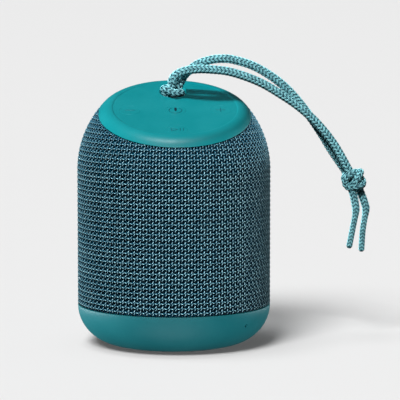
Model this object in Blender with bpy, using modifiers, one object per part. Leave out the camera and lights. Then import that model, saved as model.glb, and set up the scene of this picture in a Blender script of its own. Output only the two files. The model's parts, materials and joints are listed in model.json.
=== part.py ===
"""Portable bluetooth speaker: a fabric-covered cylinder with a domed, slanted top and a cord lanyard.

The origin is on the floor under the middle of the foot. +Z is up, and the slanted top faces -Y, the front.
Two frames are used: the upright one, and the deck frame, whose origin is the dome's centre and whose Z
axis is square to the slanted top. All the sizes below are in millimetres and become metres in MM.
"""

import math

import bmesh
import bpy
from mathutils import Matrix, Vector

MM = 0.001
GAP = 0.3  # between pieces that touch on the real object

# Outer shape
BODY_R = 40.0  # cylinder and dome
DOME_Z = 73.0  # centre of the dome
TILT = math.radians(21.1)  # of the slanted top
SEAM_Z = 17.0  # bottom cap to fabric
BASE_R = 22.6  # flat part of the base
BASE_Z = 0.5
SKIN_EDGE_H = 24.7  # lower edge of the top skin, in the deck frame
DECK_H = 28.0  # the slanted top's surface, in the deck frame
RIM_R = 6.0  # rounding from the deck to the dome

# Fabric sleeve and the cage that it is stretched over
FABRIC_T = 1.2
CAGE_OUT = 38.5
CAGE_IN = 37.1
CAGE_TOP_H = 22.5
CAGE_SLOTS = 20
CAGE_SLOT = (8.0, 44.0)  # width and height of one slot

# Sealed enclosure: a tub with flat baffles in front and behind
TUB_R = 36.4
TUB_WALL = 2.0
TUB_FLOOR_Z = 19.0
TUB_TOP_H = 13.8
BAFFLE_Y = 24.5
FLANGE_IN_R = 24.0
LID_H = (15.0, 16.6)
LID_R = 32.6
LID_FRONT_V = -21.0
TOP_SCREW_R = 26.0
TOP_SCREW_ANGLES = (90, 210, 330)
BASE_SCREW_R = 16.0
BASE_SCREW_ANGLES = (90, 210, 330)

# Top controls: places (u, v) on the deck, u to the right and v to the rear
BUTTONS = {"power": (0.0, -2.6), "plus": (18.5, -2.3), "minus": (-18.5, -2.3), "play": (0.0, -20.9)}
BUTTON_R = 4.2
BUTTON_TRAVEL_ROOM = 0.9
SKIN_T = 1.8
PLATE_H = (23.9, 25.9)
BOARD_H = (20.6, 21.8)
BOARD_R = 22.8

# Lanyard anchor
ANCHOR_V = 16.0
ANCHOR_R = 5.5
CUP_WALL = 1.2
CUP_FLOOR_H = 18.4
BAR_R = 1.25
BAR_H = 24.0

# Driver in the front baffle and passive radiator in the rear one
DRIVER_Z = 49.0
DRIVER_R = 25.0
DRIVER_EAR_R = 26.2
RADIATOR_Z = 55.0
RADIATOR_R = 22.5

# Battery, a standard 18650 cell
CELL_XY = (18.0, 11.6)
CELL_R = 9.2
CELL_Z = (21.3, 86.3)

# Charging port, a standard USB-C receptacle in a pocket at the rear
PORT_Z = 9.5
PORT_HOLE = (16.0, 8.0)
PORT_FLOOR_Y = 29.3
SOCKET = (8.94, 7.3, 3.16)
SOCKET_Y = 21.7  # its inner end

# Lanyard: a doubled cord from the anchor to the knot, and its two tails
CORD_D = 3.8
TAIL_D = 3.2
TAIL_END_D = 2.5
KNOT = (75.6, 5.9, 67.3)
KNOT_SEMI_AXES = (5.3, 4.8, 4.9)
STRAND_LEFT = [
    (-0.7, 3.7, 108.1), (-0.3, 3.7, 109.9), (0.8, 3.7, 111.4), (2.5, 3.6, 112.5), (4.7, 3.5, 113.3),
    (7.1, 3.5, 113.8), (10.5, 3.5, 114.1), (14.4, 3.5, 114.0), (22.3, 3.5, 113.2), (29.9, 3.5, 111.0),
    (37.3, 3.5, 107.9), (44.1, 3.5, 103.9), (50.9, 3.5, 99.4), (56.6, 3.5, 94.7), (62.0, 3.6, 89.1),
    (66.9, 3.7, 82.8), (71.0, 3.8, 76.0), (72.7, 3.9, 72.8),
]
STRAND_RIGHT = [
    (3.0, 6.4, 108.4), (3.8, 7.0, 109.9), (5.2, 7.6, 111.8), (7.5, 8.0, 113.9), (10.1, 8.1, 115.8),
    (13.4, 8.1, 117.1), (17.3, 8.0, 118.0), (21.2, 8.0, 118.2), (25.1, 8.0, 117.8), (32.8, 8.0, 115.5),
    (40.0, 8.0, 111.6), (46.5, 8.0, 106.7), (52.0, 8.0, 100.9), (57.4, 8.0, 94.0), (62.2, 8.0, 87.0),
    (66.4, 8.0, 80.1), (70.9, 8.0, 73.5), (72.1, 8.0, 71.8),
]
TAIL_LEFT = [(75.4, 5.0, 61.8), (76.3, 4.9, 57.7), (76.6, 4.9, 53.9), (75.4, 4.9, 47.2), (73.8, 4.9, 38.7)]
TAIL_RIGHT = [(78.7, 7.0, 62.6), (80.6, 7.0, 57.6), (81.1, 6.9, 54.2), (79.9, 6.8, 46.2), (79.3, 6.7, 37.0)]

# Internal leads
LEAD_D = 1.4
LEAD_HOLE_R = 1.2
LID_HOLES = {"speaker": (-8.0, 6.7), "battery": (14.0, 14.0), "charge": (-12.0, 13.0)}
FLOOR_HOLE = (-9.0, 20.0)

# Colour, roughness and metallic value of each finish
FINISHES = {
    "teal_silicone": ((0.010, 0.290, 0.330), 0.50, 0.0),
    "dark_teal_silicone": ((0.012, 0.190, 0.220), 0.55, 0.0),
    "fabric": ((0.030, 0.090, 0.120), 0.90, 0.0),
    "cord": ((0.080, 0.350, 0.380), 0.85, 0.0),
    "black_plastic": ((0.020, 0.020, 0.022), 0.50, 0.0),
    "rubber": ((0.030, 0.030, 0.032), 0.80, 0.0),
    "steel": ((0.600, 0.600, 0.620), 0.30, 1.0),
    "circuit_board": ((0.010, 0.120, 0.060), 0.45, 0.0),
    "paper_cone": ((0.035, 0.035, 0.035), 0.85, 0.0),
    "cell_wrap": ((0.040, 0.120, 0.350), 0.35, 0.0),
    "copper": ((0.800, 0.350, 0.150), 0.35, 1.0),
    "clear_plastic": ((0.800, 0.850, 0.850), 0.15, 0.0),
}

UPRIGHT = Matrix()
DECK = Matrix.Translation((0, 0, DOME_Z * MM)) @ Matrix.Rotation(TILT, 4, "X")
FRONT = Matrix.Translation((0, -BAFFLE_Y * MM, DRIVER_Z * MM)) @ Matrix.Rotation(math.radians(90), 4, "X")
REAR = Matrix.Translation((0, BAFFLE_Y * MM, RADIATOR_Z * MM)) @ Matrix.Rotation(math.radians(-90), 4, "X")
ALONG_X = Matrix.Rotation(math.radians(90), 4, "Y")
BIG = 120.0  # reaches past the whole object
LARGE_TURN = 36  # steps round a piece as wide as the body
MEDIUM_TURN = 24
SMALL_TURN = 16


# ---------------------------------------------------------------- scene and materials

for old in list(bpy.data.objects):
    bpy.data.objects.remove(old, do_unlink=True)

PARTS = bpy.data.collections.new("portable_speaker")
CUTTERS = bpy.data.collections.new("cutters")
for collection in (PARTS, CUTTERS):
    bpy.context.scene.collection.children.link(collection)


def make_material(name):
    colour, roughness, metallic = FINISHES[name]
    material = bpy.data.materials.new(name)
    material.use_nodes = True
    shader = material.node_tree.nodes["Principled BSDF"]
    shader.inputs["Base Color"].default_value = (*colour, 1)
    shader.inputs["Roughness"].default_value = roughness
    shader.inputs["Metallic"].default_value = metallic
    return material


MATERIALS = {name: make_material(name) for name in FINISHES}


# ---------------------------------------------------------------- modelling helpers


def at(x=0.0, y=0.0, z=0.0):
    """A shift in millimetres."""
    return Matrix.Translation((x * MM, y * MM, z * MM))


def add_object(name, data, finish, frame):
    """Links an object with this data; with no finish it is a cutter."""
    obj = bpy.data.objects.new(name, data)
    obj.matrix_world = frame
    if finish:
        PARTS.objects.link(obj)
        data.materials.append(MATERIALS[finish])
    else:
        CUTTERS.objects.link(obj)
        obj.hide_render = True
        obj.display_type = "WIRE"
    return obj


def shade(mesh):
    mesh.shade_smooth()
    mesh.set_sharp_from_angle(angle=math.radians(35))


def turned(name, finish, profile, frame=UPRIGHT, steps=SMALL_TURN):
    """Turns (radius, height) points about the frame's Z axis, given in order down the outer side."""
    mesh = bpy.data.meshes.new(name)
    points = [(radius * MM, 0, height * MM) for radius, height in profile]
    edges = [(i, i + 1) for i in range(len(points) - 1)]
    if profile[0][0] > 0:
        edges.append((len(points) - 1, 0))
    mesh.from_pydata(points, edges, [])
    obj = add_object(name, mesh, finish, frame)
    screw = obj.modifiers.new("Turn", "SCREW")
    screw.axis = "Z"
    screw.steps = screw.render_steps = steps
    screw.use_merge_vertices = True
    screw.merge_threshold = 1e-5
    graph = bpy.context.evaluated_depsgraph_get()
    obj.data = bpy.data.meshes.new_from_object(obj.evaluated_get(graph))
    obj.modifiers.clear()
    shade(obj.data)
    return obj


def rod(name, finish, radius, low, high, frame=UPRIGHT, segments=SMALL_TURN):
    """A cylinder about the frame's Z axis, between two heights."""
    mesh = bpy.data.meshes.new(name)
    shape = bmesh.new()
    middle = Matrix.Translation((0, 0, (low + high) / 2 * MM))
    bmesh.ops.create_cone(
        shape, cap_ends=True, segments=segments, radius1=radius * MM, radius2=radius * MM,
        depth=(high - low) * MM, matrix=middle,
    )
    shape.to_mesh(mesh)
    shape.free()
    shade(mesh)
    return add_object(name, mesh, finish, frame)


def block(name, finish, size, centre, frame=UPRIGHT, round_axis=None, corner=0.0):
    """A box; the four edges along round_axis can be rounded."""
    mesh = bpy.data.meshes.new(name)
    shape = bmesh.new()
    bmesh.ops.create_cube(shape, size=1.0)
    bmesh.ops.scale(shape, vec=Vector(size) * MM, verts=shape.verts)
    if round_axis is not None:
        along = [
            edge for edge in shape.edges
            if abs((edge.verts[0].co - edge.verts[1].co)[round_axis]) > size[round_axis] * MM / 2
        ]
        bmesh.ops.bevel(shape, geom=along, offset=corner * MM, segments=3, profile=0.5, affect="EDGES")
    bmesh.ops.translate(shape, vec=Vector(centre) * MM, verts=shape.verts)
    shape.to_mesh(mesh)
    shape.free()
    shade(mesh)
    return add_object(name, mesh, finish, frame)


def combine(obj, others, operation):
    for other in others:
        boolean = obj.modifiers.new(other.name, "BOOLEAN")
        boolean.operation = operation
        boolean.solver = "EXACT"
        boolean.object = other
    return obj


def cut(obj, *others):
    return combine(obj, others, "DIFFERENCE")


def join(obj, *others):
    return combine(obj, others, "UNION")


def keep_inside(obj, *others):
    return combine(obj, others, "INTERSECT")


def smooth_route(points, spacing):
    """Points at about this spacing on a Catmull-Rom curve through the given points."""
    knots = [Vector(point) for point in points]
    ends = [knots[0] * 2 - knots[1], *knots, knots[-1] * 2 - knots[-2]]
    route = []
    for before, start, end, after in zip(ends, ends[1:], ends[2:], ends[3:]):
        count = max(1, round((end - start).length / spacing))
        for step in range(count):
            t = step / count
            route.append(
                start
                + (end - before) * (t / 2)
                + (before * 2 - start * 5 + end * 4 - after) * (t * t / 2)
                + (start * 3 - before - end * 3 + after) * (t ** 3 / 2)
            )
    return [*route, knots[-1]]


def tube(name, finish, points, diameter, end_diameter=None, spacing=5.0):
    """A round tube along a smooth route; the second half can taper to end_diameter."""
    curve = bpy.data.curves.new(name, "CURVE")
    curve.dimensions = "3D"
    curve.bevel_depth = diameter / 2 * MM
    curve.bevel_resolution = 2
    curve.use_fill_caps = True
    route = smooth_route(points, spacing)
    spline = curve.splines.new("POLY")
    spline.points.add(len(route) - 1)
    for index, (place, point) in enumerate(zip(route, spline.points)):
        point.co = (*(place * MM), 1)
        if end_diameter and index > len(route) / 2:
            point.radius = end_diameter / diameter
    return add_object(name, curve, finish, UPRIGHT)


def arc(centre, radius, first, last, count):
    """Points of a circular arc; the angles are in degrees from straight up, clockwise."""
    points = []
    for step in range(count + 1):
        angle = math.radians(first + (last - first) * step / count)
        points.append((centre[0] + radius * math.sin(angle), centre[1] + radius * math.cos(angle)))
    return points


def ring_places(radius, angles):
    return [(radius * math.cos(math.radians(a)), radius * math.sin(math.radians(a))) for a in angles]


def above_deck(name, height):
    """A cutter that holds everything above this height over the dome's centre, square to the deck."""
    return block(name, None, (BIG, BIG, BIG), (0, 0, height + BIG / 2), DECK)


def deck_disc(name, finish, radius, heights, front_v):
    """A disc in the deck frame with a straight front edge."""
    disc = rod(name, finish, radius, *heights, DECK, LARGE_TURN)
    front = block(name + "_front", None, (BIG, BIG, BIG), (0, front_v - BIG / 2, 0), DECK)
    return cut(disc, front)


def dome_shell(name, finish, outer, inner, bottom_z, arc_steps):
    """An open-topped capsule wall, upright, ready to be cut along the slant."""
    centre = (0, DOME_Z)
    profile = [
        *arc(centre, outer, 22, 90, arc_steps), (outer, bottom_z),
        (inner, bottom_z), *reversed(arc(centre, inner, 22, 90, arc_steps)),
    ]
    return turned(name, finish, profile, steps=LARGE_TURN)


def capsule(name, finish, radius, bottom_z):
    """A solid upright capsule with a flat bottom."""
    profile = [*arc((0, DOME_Z), radius, 0, 90, 5), (radius, bottom_z), (0, bottom_z)]
    return turned(name, finish, profile, steps=LARGE_TURN)


# ---------------------------------------------------------------- fabric and cage


def make_fabric():
    sleeve = dome_shell("grille_fabric", "fabric", BODY_R, BODY_R - FABRIC_T, SEAM_Z + GAP, 6)
    cut(sleeve, above_deck("cut_fabric_top", SKIN_EDGE_H - GAP))


def make_cage():
    cage = dome_shell("grille_frame", "black_plastic", CAGE_OUT, CAGE_IN, SEAM_Z + GAP, 4)
    cut(cage, above_deck("cut_cage_top", CAGE_TOP_H))
    width, height = CAGE_SLOT
    for index in range(CAGE_SLOTS // 2):
        turn = Matrix.Rotation(math.pi * index / (CAGE_SLOTS // 2), 4, "Z")
        slot = block(f"cut_slot_{index + 1}", None, (width, BIG, height), (0, 0, 24 + height / 2), turn)
        cut(cage, slot)


# ---------------------------------------------------------------- slanted top


def make_top_skin():
    rim_centre_h = DECK_H - RIM_R
    rim_centre_r = math.sqrt((BODY_R - RIM_R) ** 2 - rim_centre_h ** 2)
    rim_end = math.degrees(math.atan2(rim_centre_r, rim_centre_h))
    edge_r = math.sqrt(BODY_R ** 2 - SKIN_EDGE_H ** 2)
    under = DECK_H - SKIN_T
    profile = [
        (0, DECK_H), *arc((rim_centre_r, rim_centre_h), RIM_R, 0, rim_end, 4), (edge_r, SKIN_EDGE_H),
        (edge_r - 1.85, SKIN_EDGE_H), (edge_r - 2.15, SKIN_EDGE_H + 0.5), (27.2, under), (0, under),
    ]
    skin = turned("top_cap", "teal_silicone", profile, DECK, LARGE_TURN)
    for name, place in BUTTONS.items():
        cut(skin, rod("cut_hole_" + name, None, BUTTON_R + GAP, 20, 35, DECK @ at(*place)))
    cut(skin, rod("cut_anchor_hole", None, ANCHOR_R, 20, 35, DECK @ at(0, ANCHOR_V)))


def make_buttons():
    pad_under = PLATE_H[1] + BUTTON_TRAVEL_ROOM
    for name, place in BUTTONS.items():
        profile = [
            (0, DECK_H), (BUTTON_R, DECK_H), (BUTTON_R, pad_under),
            (1.4, pad_under), (1.4, 24.5), (0, 24.5),
        ]
        turned("button_" + name, "teal_silicone", profile, DECK @ at(*place))


def make_top_frame():
    """The rigid plate under the skin, with three posts that stand on the lid."""
    low, high = PLATE_H
    plate = turned(
        "top_frame", "black_plastic",
        [(0, high), (27.0, high), (28.9, low + 0.4), (28.9, low), (0, low)], DECK, MEDIUM_TURN,
    )
    for index, (u, v) in enumerate(ring_places(TOP_SCREW_R, TOP_SCREW_ANGLES), 1):
        spot = DECK @ at(u, v)
        join(plate, rod(f"post_{index}", None, 2.9, LID_H[1] + GAP, low + 0.6, spot, 12))
        cut(plate, rod(f"cut_post_bore_{index}", None, 1.25, 10, 30, spot, 8))
        cut(plate, rod(f"cut_head_{index}", None, 2.3, low + 0.5, 30, spot, 12))
    for name, place in BUTTONS.items():
        cut(plate, rod("cut_stem_" + name, None, 1.9, 20, 30, DECK @ at(*place), 8))
    cut(plate, rod("cut_cup_hole", None, ANCHOR_R + CUP_WALL + GAP, 20, 30, DECK @ at(0, ANCHOR_V)))


def make_anchor():
    """The moulded pocket behind the deck and the steel bar that the lanyard is hitched to."""
    spot = DECK @ at(0, ANCHOR_V)
    outer, rim, floor = ANCHOR_R + CUP_WALL, PLATE_H[1], CUP_FLOOR_H
    cup = turned(
        "lanyard_cup", "black_plastic",
        [(0, floor), (ANCHOR_R, floor), (ANCHOR_R, rim), (outer, rim), (outer, floor - 1), (0, floor - 1)],
        spot,
    )
    bar_frame = DECK @ at(0, ANCHOR_V, BAR_H) @ ALONG_X
    cut(cup, rod("cut_bar_holes", None, BAR_R + GAP, -10, 10, bar_frame, 12))
    rod("lanyard_bar", "steel", BAR_R, -outer + 0.1, outer - 0.1, bar_frame, 16)


def make_main_board():
    board = rod("main_board", "circuit_board", BOARD_R, *BOARD_H, DECK, MEDIUM_TURN)
    notch_r = ANCHOR_R + CUP_WALL + 0.5
    cut(board, rod("cut_board_notch", None, notch_r, 10, 30, DECK @ at(0, ANCHOR_V)))
    cut(board, block("cut_board_slot", None, (2 * notch_r, 20, 20), (0, ANCHOR_V + 10, 20), DECK))
    foot = BOARD_H[1] + GAP
    for name, (u, v) in BUTTONS.items():
        switch = block("switch_" + name, "black_plastic", (3.6, 3.6, 1.1), (u, v, foot + 0.55), DECK)
        join(switch, rod("plunger_" + name, None, 1.0, foot + 0.6, foot + 1.6, DECK @ at(u, v), 8))
    block("wireless_module", "steel", (9.0, 7.0, 1.5), (-9.5, -12.0, foot + 0.75), DECK)
    block("amplifier_chip", "black_plastic", (5.0, 5.0, 0.9), (9.5, -12.0, foot + 0.45), DECK)


# ---------------------------------------------------------------- sealed enclosure


def make_enclosure():
    tub = capsule("enclosure", "black_plastic", TUB_R, TUB_FLOOR_Z)
    hollow = capsule("cut_tub_hollow", None, TUB_R - TUB_WALL, TUB_FLOOR_Z + TUB_WALL)
    inner_y = BAFFLE_Y - TUB_WALL
    for side, name in ((-1, "front"), (1, "rear")):
        cut(tub, block("cut_baffle_" + name, None, (BIG, BIG, 2 * BIG), (0, side * (BAFFLE_Y + BIG / 2), 0)))
        hollow_end = (0, side * (inner_y + BIG / 2), 0)
        cut(hollow, block("cut_hollow_" + name, None, (BIG, BIG, 2 * BIG), hollow_end))
    cut(tub, above_deck("cut_tub_top", TUB_TOP_H))
    cut(hollow, above_deck("cut_hollow_top", TUB_TOP_H - TUB_WALL))
    cut(tub, hollow)
    cut(tub, deck_disc("cut_tub_mouth", None, FLANGE_IN_R, (6, 20), LID_FRONT_V + 4.5))
    for index, (u, v) in enumerate(ring_places(TOP_SCREW_R, TOP_SCREW_ANGLES), 1):
        cut(tub, rod(f"cut_tub_screw_{index}", None, 1.25, 9, 20, DECK @ at(u, v), 8))
    cut(tub, rod("cut_driver_hole", None, 22.4, -6, 6, FRONT, MEDIUM_TURN))
    cut(tub, rod("cut_radiator_hole", None, 18.8, -6, 6, REAR, MEDIUM_TURN))
    for index, (x, z) in enumerate(ring_places(DRIVER_EAR_R, (45, 135, 225, 315)), 1):
        cut(tub, rod(f"cut_driver_screw_{index}", None, 1.1, -6, 6, FRONT @ at(x, z), 8))
    for index, (x, y) in enumerate(ring_places(BASE_SCREW_R, BASE_SCREW_ANGLES), 1):
        join(tub, rod(f"boss_{index}", None, 3.2, TUB_FLOOR_Z + 1.5, 26, at(x, y), 12))
        cut(tub, rod(f"cut_boss_{index}", None, 1.5, 10, 24.5, at(x, y), 8))
    cut(tub, rod("cut_floor_lead", None, 1.5, 10, 25, at(*FLOOR_HOLE), 8))


def make_lid():
    lid = deck_disc("enclosure_lid", "black_plastic", LID_R, LID_H, LID_FRONT_V)
    gasket = deck_disc("lid_gasket", "rubber", LID_R, (TUB_TOP_H + GAP, LID_H[0] - GAP), LID_FRONT_V)
    cut(gasket, deck_disc("cut_gasket", None, LID_R - 2.2, (10, 20), LID_FRONT_V + 2.2))
    for index, (u, v) in enumerate(ring_places(TOP_SCREW_R, TOP_SCREW_ANGLES), 1):
        cut(lid, rod(f"cut_lid_screw_{index}", None, 1.25, 10, 20, DECK @ at(u, v), 8))
    for name, place in LID_HOLES.items():
        cut(lid, rod("cut_lid_" + name, None, LEAD_HOLE_R, 10, 20, DECK @ at(*place), 8))


# ---------------------------------------------------------------- driver and passive radiator


def roll_profile(inner, roll_in, roll_out, outer, height, thickness=0.5):
    """A flat-edged half roll, such as a speaker's surround."""
    middle, radius = (roll_in + roll_out) / 2, (roll_out - roll_in) / 2
    over = arc((middle, height + thickness), radius, -90, 90, 4)
    under = arc((middle, height), radius - thickness, 90, -90, 4)
    return [
        (inner, height + thickness), *over, (outer, height + thickness),
        (outer, height), *under, (inner, height),
    ]


def make_driver():
    basket = turned("driver_basket", "steel", [
        (21.4, 1.8), (DRIVER_R, 1.8), (DRIVER_R, 0.3), (21.9, 0.3), (21.9, -2.5), (14.5, -12.0),
        (9.5, -12.0), (9.5, -11.0), (13.6, -11.0), (20.9, -2.2), (20.9, 1.0),
    ], FRONT, MEDIUM_TURN)
    for index, (x, z) in enumerate(ring_places(DRIVER_EAR_R, (45, 135, 225, 315)), 1):
        spot = FRONT @ at(x, z)
        join(basket, rod(f"ear_{index}", None, 2.4, 0.4, 1.7, spot, 10))
        cut(basket, rod(f"cut_ear_{index}", None, 1.1, -1, 3, spot, 8))
    turned("driver_magnet", "steel", [
        (0, -11.0), (6.5, -11.0), (6.5, -18.5), (8.7, -18.5), (8.7, -12.3),
        (15.0, -12.3), (15.0, -21.5), (0, -21.5),
    ], FRONT)
    turned("driver_surround", "rubber", roll_profile(17.0, 18.4, 21.6, 23.4, 2.1), FRONT, MEDIUM_TURN)
    turned("driver_cone", "paper_cone", [
        (18.2, 1.6), (18.2, 1.1), (8.9, -4.7), (8.3, -4.7), (8.3, -4.2), (17.6, 1.6),
    ], FRONT, MEDIUM_TURN)
    turned("dust_cap", "paper_cone", [
        (0, -1.4), (3.2, -1.7), (5.8, -2.5), (7.8, -3.7), (7.8, -4.2), (5.7, -3.1), (3.1, -2.2), (0, -1.9),
    ], FRONT)
    turned("voice_coil", "copper", [(7.9, -5.0), (7.9, -16.5), (7.2, -16.5), (7.2, -5.0)], FRONT)
    ripple = [(8.2 + 1.35 * i, -10.2 + (0.3 if i % 2 else 0)) for i in range(5)]
    turned("spider", "paper_cone", [
        *[(r, h + 0.3) for r, h in ripple], *[(r, h) for r, h in reversed(ripple)],
    ], FRONT)


def make_radiator():
    turned("radiator_frame", "black_plastic", [
        (18.3, 1.8), (RADIATOR_R, 1.8), (RADIATOR_R, 0.3), (18.3, 0.3),
    ], REAR, MEDIUM_TURN)
    turned("radiator_surround", "rubber", roll_profile(12.8, 14.3, 17.7, 20.0, 2.1), REAR, MEDIUM_TURN)
    turned("radiator_plate", "steel", [
        (0, 1.8), (13.6, 1.8), (13.6, 0.6), (8.0, 0.6), (8.0, -0.8), (0, -0.8),
    ], REAR)


# ---------------------------------------------------------------- battery and leads


def make_battery():
    spot = at(*CELL_XY)
    low, high = CELL_Z
    turned("battery_cell", "cell_wrap", [
        (0, high), (2.8, high), (2.8, high - 0.8), (8.6, high - 0.8), (CELL_R, high - 1.6),
        (CELL_R, low + 0.6), (8.6, low), (0, low),
    ], spot)
    clip = turned("battery_clip", "black_plastic", [(10.4, 68), (10.4, 36), (9.5, 36), (9.5, 68)], spot)
    cut(clip, block("cut_clip", None, (9.0, 20.0, 60.0), (CELL_XY[0], CELL_XY[1] + 10, 52)))


def through_lid(name):
    """The last two points of a lead, square to the deck, in world millimetres."""
    u, v = LID_HOLES[name]
    low, high = LID_H[0] - 0.8, BOARD_H[0] - GAP
    return [tuple(DECK @ Vector((u * MM, v * MM, height * MM)) / MM) for height in (low, high)]


def make_leads():
    tube("speaker_lead", "black_plastic", [
        (-5.0, -17.3, 68.4), (-6.0, -13.5, 74.0), (-7.4, -5.5, 81.0), (-8.0, -0.2, 85.4),
        *through_lid("speaker"),
    ], LEAD_D)
    tube("battery_lead", "black_plastic", [
        (17.2, 10.6, 87.2), (15.6, 9.3, 88.6), *through_lid("battery"),
    ], LEAD_D, spacing=2.0)
    tube("charge_lead", "black_plastic", [
        (-6.4, 25.0, 8.7), (-7.6, 23.0, 12.0), (-9.0, 20.4, 16.5), (-9.0, 19.8, 22.5),
        (-10.0, 17.0, 35.0), (-11.0, 14.0, 60.0), (-12.0, 9.5, 82.0), *through_lid("charge"),
    ], LEAD_D, spacing=7.0)


# ---------------------------------------------------------------- base and charging port


def corner_arc(radius, height, first=0, last=90, count=5):
    """The rounded lower corner, an ellipse about (BASE_R, SEAM_Z), from the side to the base."""
    points = []
    for step in range(count + 1):
        angle = math.radians(first + (last - first) * step / count)
        points.append((BASE_R + radius * math.cos(angle), SEAM_Z - height * math.sin(angle)))
    return points


def make_base():
    outer = corner_arc(BODY_R - BASE_R, SEAM_Z - BASE_Z)
    inner = corner_arc(BODY_R - BASE_R - 2.0, SEAM_Z - 3.7, 12, 90)
    recess_r, recess_z = 20.3, 1.7
    cap = turned("bottom_cap", "dark_teal_silicone", [
        (0, 3.7), *reversed(inner), (36.9, 15.0), (36.9, SEAM_Z), *outer,
        (recess_r, BASE_Z), (recess_r, recess_z), (0, recess_z),
    ], steps=LARGE_TURN)
    for index, (x, y) in enumerate(ring_places(BASE_SCREW_R, BASE_SCREW_ANGLES), 1):
        join(cap, rod(f"standoff_{index}", None, 4.2, 3.0, TUB_FLOOR_Z - GAP, at(x, y), 12))
        cut(cap, rod(f"cut_standoff_head_{index}", None, 3.0, -1, 7.7, at(x, y), 12))
        cut(cap, rod(f"cut_standoff_bore_{index}", None, 1.5, 7, 20, at(x, y), 8))
    width, height = PORT_HOLE
    cut(cap, block("cut_port_hole", None, (width, 20, height), (0, 42, PORT_Z), UPRIGHT, 1, 1.5))
    light = light_frame()
    cut(cap, rod("cut_light_hole", None, 0.9, 30, 45, light, 8))
    turned("charge_light", "clear_plastic", [
        (0, 38.6), (0.6, 38.6), (0.6, 34.4), (1.6, 34.4), (1.6, 33.4), (0, 33.4),
    ], light, 8)
    turned("foot_pad", "rubber", [(0, 1.4), (20.0, 1.4), (20.0, 0.5), (19.5, 0), (0, 0)], steps=LARGE_TURN)


def light_frame():
    """Z points out through the wall of the base, at its front right."""
    turn = Matrix.Rotation(math.radians(46 - 90), 4, "Z")
    return at(0, 0, 11.3) @ turn @ ALONG_X


def make_port():
    width, height = PORT_HOLE
    wall_inside = turned("cut_inside_wall", None, [
        (0, 20), *corner_arc(BODY_R - BASE_R - 2.8, SEAM_Z - 4.5), (0, 4.5),
    ], steps=LARGE_TURN)
    size = (width + 3.0, 10.5, height + 2.4)
    pocket = block("port_pocket", "black_plastic", size, (0, PORT_FLOOR_Y + 2.75, PORT_Z))
    keep_inside(pocket, wall_inside)
    room = block("cut_pocket", None, (width, 20, height), (0, PORT_FLOOR_Y + 10, PORT_Z), UPRIGHT, 1, 1.5)
    slot = block("cut_socket_slot", None, (9.6, 30, 3.8), (0, PORT_FLOOR_Y, PORT_Z), UPRIGHT, 1, 1.8)
    cut(pocket, room, slot)

    blank_outer = corner_arc(BODY_R - BASE_R, SEAM_Z - BASE_Z, 5, 60, 4)
    blank_inner = corner_arc(BODY_R - BASE_R - 1.6, SEAM_Z - BASE_Z - 1.6, 5, 60, 4)
    cover = turned("port_cover", "rubber", [*blank_outer, *reversed(blank_inner)], steps=LARGE_TURN)
    cover_size = (width - 2 * GAP, 30, height - 2 * GAP)
    keep_inside(cover, block("keep_cover", None, cover_size, (0, 40, PORT_Z), UPRIGHT, 1, 1.3))

    length, depth, thickness = SOCKET
    middle_y = SOCKET_Y + depth / 2
    socket = block("usb_socket", "steel", SOCKET, (0, middle_y, PORT_Z), UPRIGHT, 1, 1.5)
    cavity = (length - 0.7, depth, thickness - 0.7)
    cut(socket, block("cut_socket", None, cavity, (0, middle_y + 1.0, PORT_Z), UPRIGHT, 1, 1.15))
    join(socket, block("tongue", None, (6.6, depth - 1.6, 0.7), (0, middle_y - 0.4, PORT_Z)))
    board_top = PORT_Z - thickness / 2 - GAP
    block("port_board", "circuit_board", (16.0, 6.0, 1.2), (0, 23.5, board_top - 0.6))


# ---------------------------------------------------------------- screws


def screw(name, head_r, head, shank_r, tip, frame):
    """A flat-headed screw along the frame's Z axis: head gives its heights, from shank side to top."""
    shoulder, top = head
    up = 1 if top > shoulder else -1
    profile = [(0, top), (head_r, top), (head_r, shoulder), (shank_r, shoulder), (shank_r, tip), (0, tip)]
    body = turned(name, "steel", profile if up > 0 else list(reversed(profile)), frame, 10)
    slot_height = top - 0.35 * up
    cut(body, block("cut_" + name, None, (BIG, 0.5, 0.9), (0, 0, slot_height + 0.3 * up), frame))


def make_screws():
    for index, (u, v) in enumerate(ring_places(TOP_SCREW_R, TOP_SCREW_ANGLES), 1):
        screw(f"screw_top_{index}", 1.9, (24.7, 25.8), 0.95, 10.2, DECK @ at(u, v))
    for index, (x, y) in enumerate(ring_places(BASE_SCREW_R, BASE_SCREW_ANGLES), 1):
        screw(f"screw_base_{index}", 2.6, (7.4, 5.9), 1.2, 24.0, at(x, y))
    for index, (x, z) in enumerate(ring_places(DRIVER_EAR_R, (45, 135, 225, 315)), 1):
        screw(f"screw_driver_{index}", 1.7, (2.1, 3.1), 0.8, -3.5, FRONT @ at(x, z))


# ---------------------------------------------------------------- lanyard


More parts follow.
